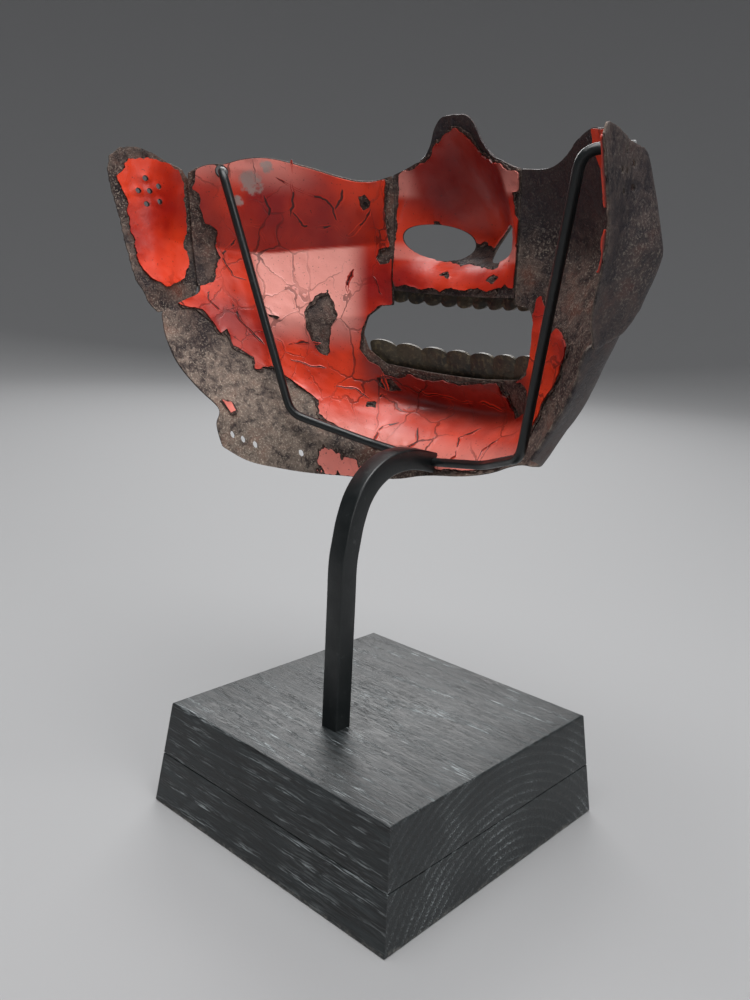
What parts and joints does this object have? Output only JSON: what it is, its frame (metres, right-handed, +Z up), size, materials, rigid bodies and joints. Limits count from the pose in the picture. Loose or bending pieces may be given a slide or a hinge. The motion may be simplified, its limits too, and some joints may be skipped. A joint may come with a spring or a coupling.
{
  "type": "samurai face guard on display stand",
  "caption": "Lacquered iron half-face guard with nose, mouth, teeth and ear plates, held by a wire cradle on a bent square arm over a black wooden base.",
  "frame": {"origin": "centre of the base's underside", "axes": "+Z up; the mask looks towards -Y; +X is the wearer's left"},
  "size_m": [0.1912, 0.1106, 0.2363],
  "materials": {
    "russet_iron": "thin russet iron sheet, red lacquered inside, cracked and flaked to brown iron",
    "teeth": "iron strip under dark, dirty lacquer",
    "black_steel": "satin black paint on mild steel bar and rod",
    "black_ash": "open-grained ash, stained black, satin"
  },
  "bodies": {
    "root": {"face_shell": "russet_iron", "nose_plate": "russet_iron", "upper_teeth": "teeth", "lower_teeth": "teeth", "left_ear_plate": "russet_iron", "right_ear_plate": "russet_iron", "stand_bracket": "black_steel", "base_upper_board": "black_ash", "base_lower_board": "black_ash"}
  },
  "joints": []
}
